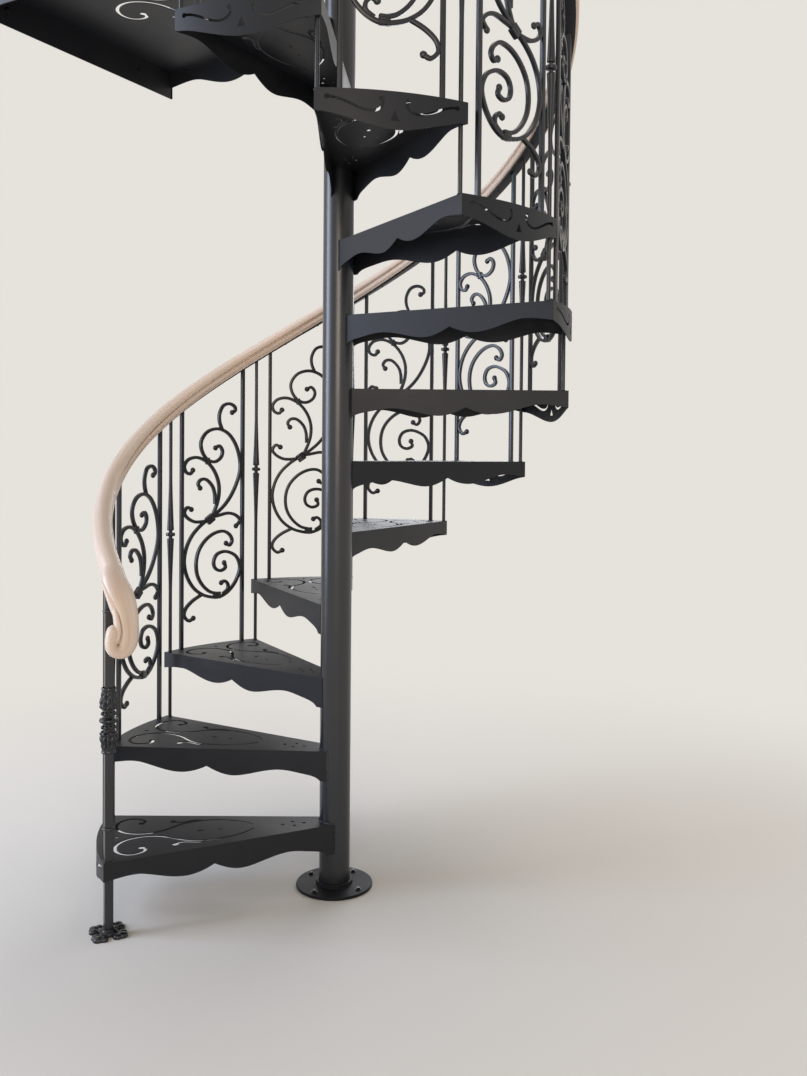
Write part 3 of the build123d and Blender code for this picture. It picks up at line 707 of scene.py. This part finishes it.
def dressed(node, edge=plates.edge):
    work = bmesh.new()
    work.from_mesh(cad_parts[node].data)
    bmesh.ops.remove_doubles(work, verts=work.verts, dist=1e-5)
    bmesh.ops.dissolve_limit(work, angle_limit=math.radians(plates.flatWithin), verts=work.verts,
                             edges=work.edges)
    carrier = newObject(toMesh(work))
    carrier.data.shade_smooth()
    bevel = carrier.modifiers.new("broken edges", "BEVEL")
    bevel.width = edge
    bevel.segments = plates.segments
    bevel.limit_method = "ANGLE"
    bevel.angle_limit = math.radians(plates.bevelFrom)
    bevel.use_clamp_overlap = False
    flat = carrier.modifiers.new("flat faces", "WEIGHTED_NORMAL")
    flat.keep_sharp = True
    return plainMesh(carrier)


addPiece("welded_tread_01", dressed("tread_01"), frameCoat, "structure_steel", "tread_01", crease=None)
upperTread = dressed("tread_02")
addOnTreads("welded_tread", "tread", upperTread, frameCoat, "structure_steel", first=2,
            count=stair.treads - 1, crease=None)
addPiece("landing_plate", dressed("landing"), frameCoat, "structure_steel", "landing", crease=None)
addPiece("round_base_flange", dressed("base_flange", plates.flangeEdge), flangeCoat, "structure_steel",
         "base_flange", crease=None)
print("plates done:", len(upperTread.polygons), "faces in a tread")

# Column: plain round tube, open at the foot and closed by a domed cap
column = SimpleNamespace(wall=6 * mm, sides=96, lip=1 * mm, capRound=23.8 * mm, capSteps=10)


def columnMesh():
    low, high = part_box("column")
    lip, inner = column.lip, columnRadius - column.wall
    return lathe([(columnRadius, low.z), (columnRadius, high.z - lip), (columnRadius - lip, high.z),
                  (inner, high.z), (inner, low.z)], column.sides, loop=True)


def capMesh():
    low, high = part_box("column_cap")
    radius, rounding, lip = (high.x - low.x) / 2, column.capRound, column.lip
    profile = [(radius - lip, low.z), (radius, low.z + lip)]
    for i in range(column.capSteps + 1):
        angle = math.radians(90 * i / column.capSteps)
        profile.append((radius - rounding * (1 - math.cos(angle)),
                        high.z - rounding * (1 - math.sin(angle))))
    return lathe(profile + [(1 * mm, high.z)], column.sides)


addPiece("column_tube", columnMesh(), tubeCoat, "structure_steel", "column")
addPiece("domed_column_cap", capMesh(), tubeCoat, "structure_steel", "column_cap")
print("column done")

# Newel: square post with two rings, a leafy casting sleeved on it and a foot of four leaves
newel = SimpleNamespace(
    size=25.4 * mm, ease=1.6 * mm, ring=38 * mm, ringHeight=9 * mm, ringSteps=8, ringInside=11.43 * mm,
    ringSides=40, ringLevels=(969 * mm, 318 * mm))
# radii and heights in millimetres; the casting's lower half mirrors the upper about the middle ring
casting = SimpleNamespace(
    low=537, middle=106, rows=44, columns=120,
    cup=[(98, 20.6), (94, 21.6), (90, 20.4), (84, 20.6), (74, 22.2), (62, 24.4), (50, 25.8), (42, 26),
         (37, 24.6), (34.5, 21.5)],  # (height, radius) from the post to the rim
    lining=18.4 / 24,  # the cup closes inwards to this share of its rim
    leaves=6, leafFrom=.24, leafGrowth=.2,  # along the cup
    valley=4, valleyWidth=.2, rib=2, ribWidth=.13, tip=5, tipFrom=.4,
    lobes=4.5, lobeDepth=1.9, lobeSlant=.9, lobeReach=1.15, lobeShape=.8,
    core=[(18.4, -98), (15.4, -34), (15.4, -10), (20.4, -8), (22, -5.5)],  # (radius, height)
    rim=28, rimHalf=5.5, rimRound=.7, rimSteps=8, coreSides=64,
    beads=7, beadSize=12.6, beadReach=17.2, beadRise=20.5,
)
# millimetres; a leaf is three round lobes on a stalk, each (outward, sideways, radius, rise)
foot = SimpleNamespace(
    lobes=[(50, 0, 15.5, 7.5), (42, 14, 13.5, 6.5), (42, -14, 13.5, 6.5), (30, 0, 15, 4.5)],
    hub=29, hubRise=5, edge=5.5, edgeShare=.45, round=2.2, boss=18, bossRadius=17.5,
    bossFade=30, rows=34, rowSpread=.8, columns=288,
)


def newelMesh():
    place, n = Vector((*newelPlace, 0)), newel
    meshes = [squareBar(place, newelTurn, n.size, 0, lambda at: underRail(newelAzimuth, at), n.ease)]
    half, rounding = n.ring / 2, n.ringHeight / 2
    for level in n.ringLevels:
        profile = [(n.ringInside, level - rounding)]
        for i in range(n.ringSteps + 1):
            angle = math.radians(180 * i / n.ringSteps - 90)
            profile.append((half - rounding * (1 - math.cos(angle)), level + rounding * math.sin(angle)))
        meshes.append(moved(lathe(profile + [(n.ringInside, level + rounding)], n.ringSides), place))
    return joined(meshes)


def leafCup(flip):  # one cup of leaves, convex, from a small collar on the post to a rim that rolls in
    c = casting
    outline = [Vector((height, radius, 0)) for height, radius in c.cup]
    rows = []
    for row in range(c.rows + 1):
        s = row / c.rows
        middle = eased(outline, s * (len(outline) - 1))
        onLeaf = min(1, max(0, (s - c.leafFrom) / c.leafGrowth))
        ring = []
        for i in range(c.columns):
            angle = math.tau * i / c.columns
            across = (angle * c.leaves / math.tau) % 1 - .5
            side = abs(across) * 2  # 0 at a leaf's midrib, 1 between two leaves
            radius = middle.y - c.valley * onLeaf * math.exp(-((1 - side) / c.valleyWidth) ** 2)
            radius -= c.rib * onLeaf * math.exp(-(side / c.ribWidth) ** 2)
            wave = math.sin(math.tau * (c.lobes * s - c.lobeSlant * side))
            swell = math.sin(math.pi * min(1, side * c.lobeReach)) ** c.lobeShape
            radius += c.lobeDepth * onLeaf * wave * swell
            height = middle.x + c.tip * (side ** 2 - c.tipFrom) * onLeaf * s ** 2
            ring.append(Vector((radius * math.cos(angle), radius * math.sin(angle), flip * height)) * mm)
        rows.append(ring)
    rim = flip * c.cup[-1][0] * mm
    return skin(rows + [[Vector((p.x * c.lining, p.y * c.lining, rim)) for p in rows[-1]]])


def beadTree():
    add, given = newTree("beadRing", Count="Int", Reach="Float", Size="Float", Rise="Float")
    bead = add("GeometryNodeMeshIcoSphere", {"Subdivisions": 3, "Radius": .5})
    size = add("ShaderNodeCombineXYZ", {i: given["Size"] for i in range(3)})
    rings = []
    for side in (1, -1):
        circle = add("GeometryNodeMeshCircle", {"Vertices": given["Count"], "Radius": given["Reach"]})
        lift = add("ShaderNodeMath", {0: given["Rise"], 1: side}, operation="MULTIPLY")
        shift = add("ShaderNodeCombineXYZ", {2: lift})
        row = add("GeometryNodeTransform", {0: circle, "Translation": shift})
        rings.append(add("GeometryNodeInstanceOnPoints", {0: row, "Instance": bead, "Scale": size}))
    return endTree(add, add("GeometryNodeJoinGeometry", {0: rings}), given)


beadRing = beadTree()


def castingMesh():
    c = casting
    core = list(c.core)
    for i in range(c.rimSteps + 1):
        angle = math.radians(180 * i / c.rimSteps - 90)
        core.append((c.rim - c.rimHalf * c.rimRound * (1 - math.cos(angle)),
                     c.rimHalf * math.sin(angle)))
    core += [(r, -z) for r, z in reversed(c.core)]
    beads = grown(beadRing, newObject(bpy.data.meshes.new("empty")), Count=c.beads,
                  Reach=c.beadReach * mm, Size=c.beadSize * mm, Rise=c.beadRise * mm,
                  Material=castCoat)
    middle = lathe([(r * mm, z * mm) for r, z in core], c.coreSides)
    whole = joined([leafCup(1), leafCup(-1), middle, beads])
    return moved(whole, Vector((*newelPlace, (c.low + c.middle) * mm)), newelTurn)


def leafReach(angle):  # how far a leaf's outline lies from the centre, at an angle from its middle
    reach = foot.hub
    for x, y, radius, _ in foot.lobes:
        along = x * math.cos(angle) + y * math.sin(angle)
        root = radius ** 2 - (x ** 2 + y ** 2 - along ** 2)
        if root > 0 and along > 0:
            reach = max(reach, along + math.sqrt(root))
    return reach


def leafHeight(x, y, inset):  # domed lobes with creases between them, and a rounded edge
    f, out = foot, math.hypot(x, y)
    domes = [top * math.sqrt(max(0, 1 - ((x - u) ** 2 + (y - v) ** 2) / radius ** 2))
             for u, v, radius, top in f.lobes]
    height = f.edge + max(max(domes), f.hubRise if out < f.hub else 0)
    fade = min(1, max(0, (f.bossFade - out) / (f.bossFade - f.bossRadius)))
    height += (f.boss - f.edge - f.hubRise) * fade ** 2
    share = f.edgeShare
    return height * min(1, share + (1 - share) * math.sqrt(max(0, inset / f.round)))


def footMesh():
    f, rows = foot, []
    for row in range(f.rows + 1):
        share = (1 - row / f.rows) ** f.rowSpread
        ring = []
        for i in range(f.columns):
            turned = 360 * i / f.columns
            angle = math.radians((turned + 45) % 90 - 45)
            reach = leafReach(angle)
            radius = max(.5, reach * share)
            height = leafHeight(radius * math.cos(angle), radius * math.sin(angle), reach - radius)
            ring.append(polar(radius, turned, height) * mm)
        rows.append(ring)
    under = [[Vector((p.x * share, p.y * share, 0)) for p in rows[0]] for share in (.02, 1)]
    return moved(skin(under + rows), Vector((*newelPlace, 0)), newelTurn + 45)


addPiece("newel_with_rings", newelMesh(), tubeCoat, "structure_steel", "newel_post")
addPiece("leafy_newel_casting", castingMesh(), castCoat, "cast_ornament", "newel_casting", crease=60)
addPiece("four_leaf_foot", footMesh(), castCoat, "cast_ornament", "newel_foot", crease=60)
print("newel done")

# Landing's guard: straight rail and strip, three balusters, one panel and a square post with a ball
guard = SimpleNamespace(
    balusters=(112 * mm, 520 * mm, 630 * mm), panelFrom=180 * mm, postSize=38 * mm, postEase=2 * mm,
    ball=47 * mm, ballSides=40, ballSteps=(-8, 13), ballTurn=7.5, ballSink=.5, neck=12 * mm,
    station=60 * mm)
guardMiddle = railTop - railHeight / 2
guardTop = landingLevel + railTop - railHeight - stripHeight - 2 * stair.gap


def straightMoulding(points):
    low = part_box("landing_rail")[0].x
    near = columnRadius + stair.gap
    stations = [0]
    while stations[-1] - guard.station > low:
        stations.append(stations[-1] - guard.station)
    stations.append(low)
    rings = []
    for station in stations:
        ring = []
        for x, y in points:
            across = guardY + x
            coped = -math.sqrt(max(near ** 2 - across ** 2, 0))  # cut to fit the column
            ring.append(Vector((min(station, coped), across, landingLevel + guardMiddle + y)))
        rings.append(ring)
    return skin(rings, [-station for station in stations])


def landingPostMesh():
    low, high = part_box("landing_post")
    place = (low + high) / 2
    radius = guard.ball / 2
    shoulder = high.z - radius * (1 + guard.ballSink)
    profile = [(guard.neck, shoulder - 1 * mm)]
    for i in range(*guard.ballSteps):
        angle = math.radians(guard.ballTurn * i)
        profile.append((max(radius * math.cos(angle), .2 * mm),
                        high.z - radius + radius * math.sin(angle)))
    post = squareBar(place, 0, guard.postSize, low.z, lambda at: shoulder, guard.postEase)
    return joined([post, moved(lathe(profile, guard.ballSides), Vector((place.x, place.y, 0)))])


addPiece("landing_handrail", straightMoulding(outlinePoints), maple, "handrail_wood", "landing_rail")
addPiece("landing_strip", straightMoulding(stripOutline), frameCoat, "structure_steel",
         "landing_rail_strip")
addPiece("landing_turned_balusters", joined([
    balusterMesh(Vector((-place, guardY, 0)), landingLevel + stair.gap,
                 landingLevel + baluster.knuckle * mm, lambda at: guardTop)
    for place in guard.balusters]), forgedCoat, "balustrade_steel", "landing_balusters")
guardFeet = [Vector((-guard.panelFrom - run, guardY, 0)) for run in (0, panelWidth)]
guardPanel = panelMesh(panel.scrolls, guardFeet, landingLevel, 0, [lambda at: guardTop] * 2)
addPiece("landing_forged_panel", guardPanel, forgedCoat, "balustrade_steel", "landing_panel")
addPiece("landing_square_post", landingPostMesh(), tubeCoat, "structure_steel", "landing_post")
print("landing's guard done")

# Bolts and screws: one tree puts a head on every place, along the axis stored there
bolt = SimpleNamespace(
    across=13 * mm, head=5.5 * mm, chamfer=.8 * mm, washer=20 * mm, washerHeight=1.8 * mm,
    washerEase=.4 * mm, washerSides=32, circle=203 * mm, firstAzimuth=-6, landingSpacing=560 * mm,
    landingDrop=50 * mm, plate=3.2 * mm)
screw = SimpleNamespace(
    head=8 * mm, height=2.2 * mm, recess=2.4 * mm, sides=18, anglesPerTread=(9.5, 19.5),
    guardRuns=(60, 300, 400, 575, 690))


def studTree():
    add, given = newTree("studs", Head="Object")
    axis = add("GeometryNodeInputNamedAttribute", {"Name": "axis"}, data_type="FLOAT_VECTOR")
    aligned = add("FunctionNodeAlignRotationToVector", {"Vector": axis}, axis="Z")
    head = add("GeometryNodeObjectInfo", {0: given["Head"]})
    heads = add("GeometryNodeInstanceOnPoints", {
        0: given["Geometry"], "Instance": head.outputs["Geometry"], "Rotation": aligned})
    return endTree(add, heads, given)


studs = studTree()


def hexBolt():
    b = bolt
    radius, chamfer, ease = b.across / math.sqrt(3), b.chamfer, b.washerEase
    half, top = b.washer / 2, b.washerHeight
    rows = []
    for shrink, height in ((chamfer / 2, 0), (0, .3 * mm), (0, b.head - chamfer), (chamfer, b.head)):
        rows.append([polar(radius - shrink, 60 * i, top + height) for i in range(6)])
    washer = lathe([(half, 0), (half, top - ease), (half - ease, top), (1 * mm, top)], b.washerSides)
    return joined([skin(rows), washer])


def panScrew():
    half, top, recess = screw.head / 2, screw.height, screw.recess
    return lathe([(half, 0), (half * .98, top * .35), (half * .85, top * .75), (half * .6, top),
                  (recess * .5, top), (recess * .45, top * .4), (.1 * mm, top * .35)], screw.sides)


def addStuds(name, head, places):
    mesh = bpy.data.meshes.new("places")
    mesh.from_pydata([place for place, _ in places], [], [])
    axes = mesh.attributes.new("axis", "FLOAT_VECTOR", "POINT")
    for datum, (_, axis) in zip(axes.data, places):
        datum.vector = axis
    model = newObject(head, "head")
    heads = grown(studs, newObject(mesh), Head=model, Material=zincCoat)
    addPiece(name, heads, zincCoat, "structure_steel")
    bpy.data.objects.remove(model)


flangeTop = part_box("column")[0].z
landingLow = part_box("landing")[0]
landingBolts, railScrews = [], []
for side in (-1, 1):
    along = landingLow.x / 2 + side * bolt.landingSpacing / 2
    height = landingLevel - bolt.landingDrop
    landingBolts.append((Vector((landingLow.x + bolt.plate, along, height)), (1, 0, 0)))
    landingBolts.append((Vector((along, landingLow.y + bolt.plate, height)), (0, 1, 0)))
for number in range(stair.treads):
    for inset in screw.anglesPerTread:
        azimuth = leadAzimuth - stair.step * number - inset
        place = polar(lineRadius, azimuth)
        down = polar(1, azimuth - 90) * math.sin(slope) + Vector((0, 0, -math.cos(slope)))
        railScrews.append((Vector((place.x, place.y, underRail(azimuth, place) + stair.gap)), down))
for run in screw.guardRuns:
    railScrews.append((Vector((-run * mm, guardY, guardTop + stair.gap)), (0, 0, -1)))
addStuds("base_flange_bolts", hexBolt(), [
    (polar(bolt.circle / 2, bolt.firstAzimuth + 90 * i, flangeTop), (0, 0, 1)) for i in range(4)])
addStuds("landing_fixing_bolts", hexBolt(), landingBolts)
addStuds("strip_screws", panScrew(), railScrews)
print("bolts and screws done")

# Welds: a rippled bead along each joint, under the same coat
weld = SimpleNamespace(
    radius=2.6 * mm, ripple=4.2 * mm, depth=.16, frontFrom=79.3, backFrom=-39.6, arcSteps=24,
    down=98 * mm, footRadius=1.7 * mm, footGap=.6 * mm, corner=1.2 * mm)


def beadLineTree():
    add, given = newTree("weldBead", Radius="Float", Ripple="Float", Depth="Float")
    spacing = add("ShaderNodeMath", {0: given["Ripple"], 1: 4}, operation="DIVIDE")
    even = add("GeometryNodeResampleCurve", {0: given["Geometry"], "Length": spacing}, mode="LENGTH")
    along = add("GeometryNodeSplineParameter")
    wave = add("ShaderNodeMath", {0: along.outputs["Length"], 1: given["Ripple"]}, operation="DIVIDE")
    turned = add("ShaderNodeMath", {0: wave, 1: math.tau}, operation="MULTIPLY")
    sine = add("ShaderNodeMath", {0: turned}, operation="SINE")
    swell = add("ShaderNodeMath", {0: sine, 1: given["Depth"], 2: 1.0}, operation="MULTIPLY_ADD")
    ring = add("GeometryNodeCurvePrimitiveCircle", {
        "Resolution": 7, "Radius": given["Radius"]}, mode="RADIUS")
    body = add("GeometryNodeCurveToMesh", {
        "Curve": even, "Profile Curve": ring, "Scale": swell, "Fill Caps": True})
    return endTree(add, body, given)


weldBead = beadLineTree()


def welded(lines, radius):
    return grown(weldBead, lineCarrier(lines), Radius=radius, Ripple=weld.ripple, Depth=weld.depth,
                 Material=beadCoat)


def footRing(place, turn, size):
    ring = turnedSquare(turn, size + 2 * weld.footGap, weld.corner, 2)
    return [Vector((place.x + p.x, place.y + p.y, firstLevel)) for p in ring + ring[:1]]


def jointLines(level, middle):  # a tread's joint with the column: over the plate, and down both aprons
    front, back = middle + weld.frontFrom, middle + weld.backFrom
    steps = weld.arcSteps
    arc = [polar(columnRadius, back + (front - back) * i / steps, level) for i in range(steps + 1)]
    return [arc] + [[polar(columnRadius, azimuth, height) for height in (level, level - weld.down)]
                    for azimuth in (front, back)]


columnWelds = welded(jointLines(firstLevel, leadAzimuth - stair.step / 2), weld.radius)
footRings = [footRing(place, panelTurn, panel.bar) for place in panelFeet]
rodReach = panel.bar / 2 + weld.footGap
rodPlace = polar(lineRadius, secondAzimuth, firstLevel)
footRings.append([rodPlace + polar(rodReach, 30 * i) for i in range(13)])
footWelds = welded(footRings, weld.footRadius)
for name, first, slot in (("column_welds", columnWelds, "structure_steel"),
                          ("bar_foot_welds", footWelds, "balustrade_steel")):
    addPiece(name, joined([climbed(first, number) for number in range(stair.treads)]), beadCoat, slot)
addPiece("newel_weld", welded([footRing(newelPlace, newelTurn, newel.size)], weld.radius), beadCoat,
         "structure_steel")
print("welds done")

# Stage, light and camera
view = SimpleNamespace(
    place=(1.8364, -2.7981, 1.4499), yaw=2.0858, pitch=-.0226, roll=.00847, lens=33.72, sensor=36,
    shiftY=-.0593)
lamps = {  # name: place, width, height, watts, colour
    "tall window": ((-4.7, -3.74, 2.9), 2.4, 5.2, 330, "#d3e3ff"),
    "window": ((-3.6, -5.6, 3.2), 2.0, 3.0, 30, "#eaf2ff"),
    "room": ((3.0, -4.4, 2.6), 2.2, 2.2, 75, "#ffeedd"),
    "ceiling": ((.4, .8, 6.4), 3.0, 3.0, 85, "#fffaf2"),
    "back": ((-1.5, 4.2, 3.0), 2.4, 2.4, 60, "#f2f6ff"),
}
lampAim = (0, 0, 1.7)
stage = SimpleNamespace(
    background="#e6e2dc", floor="#ece7df", rough=.8, gloss=.2, glow=.36, nearEdge=.9, farEdge=3.6,
    size=40, sides=96, depth=20 * mm, drop=.2 * mm)


def makeCamera():
    data = bpy.data.cameras.new("camera")
    data.sensor_width = view.sensor
    data.lens = view.lens
    data.shift_y = view.shiftY
    camera = newObject(data, "camera")
    flat = polar(1, math.degrees(view.yaw))
    ahead = flat * math.cos(view.pitch) + Vector((0, 0, math.sin(view.pitch)))
    side = Vector((flat.y, -flat.x, 0))
    matrix = Matrix((side, side.cross(ahead), -ahead)).transposed().to_4x4()
    matrix.translation = view.place
    camera.matrix_world = matrix @ Matrix.Rotation(view.roll, 4, "Z")
    bpy.context.scene.camera = camera


def makeLamps():
    for name, (place, width, height, watts, colour) in lamps.items():
        data = bpy.data.lights.new(name, "AREA")
        data.shape = "RECTANGLE"
        data.size, data.size_y = width, height
        data.energy = watts
        data.color = linear(colour)[:3]
        lamp = newObject(data, name)
        lamp.location = place
        lamp.visible_camera = False
        lamp.rotation_mode = "QUATERNION"
        lamp.rotation_quaternion = (Vector(lampAim) - lamp.location).to_track_quat("-Z", "Y")


def seenDirectly(add):  # 1 for rays that show the backdrop, 0 for rays that only carry its light
    rays = add("ShaderNodeLightPath").outputs
    seen = rays["Is Camera Ray"]
    for kind in ("Is Glossy Ray", "Is Transmission Ray"):
        seen = add("ShaderNodeMath", {0: seen, 1: rays[kind]}, operation="MAXIMUM")
    return seen


def makeBackdrop():
    world = bpy.data.worlds.new("world")
    bpy.context.scene.world = world
    add = emptied(world)
    level = add("ShaderNodeMapRange", {"Value": seenDirectly(add), "To Min": stage.glow, "To Max": 1})
    glow = add("ShaderNodeBackground", {"Color": linear(stage.background), "Strength": level})
    add("ShaderNodeOutputWorld", {"Surface": glow})


def makeFloor():  # pale and plain, fading into the backdrop
    size, drop = stage.size, stage.drop
    floor = lathe([(size, -stage.depth), (size, -drop), (1 * mm, -drop)], stage.sides)
    material = bpy.data.materials.new("paleFloor")
    add = emptied(material)
    shader = add("ShaderNodeBsdfPrincipled", {
        "Base Color": linear(stage.floor), "Roughness": stage.rough, "Specular IOR Level": stage.gloss})
    place = add("ShaderNodeTexCoord").outputs["Object"]
    distance = add("ShaderNodeVectorMath", {0: place}, operation="LENGTH")
    far = add("ShaderNodeMapRange", {
        "Value": distance.outputs["Value"], "From Min": stage.nearEdge, "From Max": stage.farEdge
    }, interpolation_type="SMOOTHSTEP")
    backdrop = add("ShaderNodeEmission", {"Color": linear(stage.background)})
    mixed = add("ShaderNodeMixShader", {0: far, 1: shader, 2: backdrop})
    add("ShaderNodeOutputMaterial", {"Surface": mixed})
    floor.materials.append(material)
    ground = newObject(floor, "floor")


makeCamera()
makeLamps()
makeBackdrop()
makeFloor()
bpy.context.scene.view_settings.view_transform = "Standard"
print("stage done")
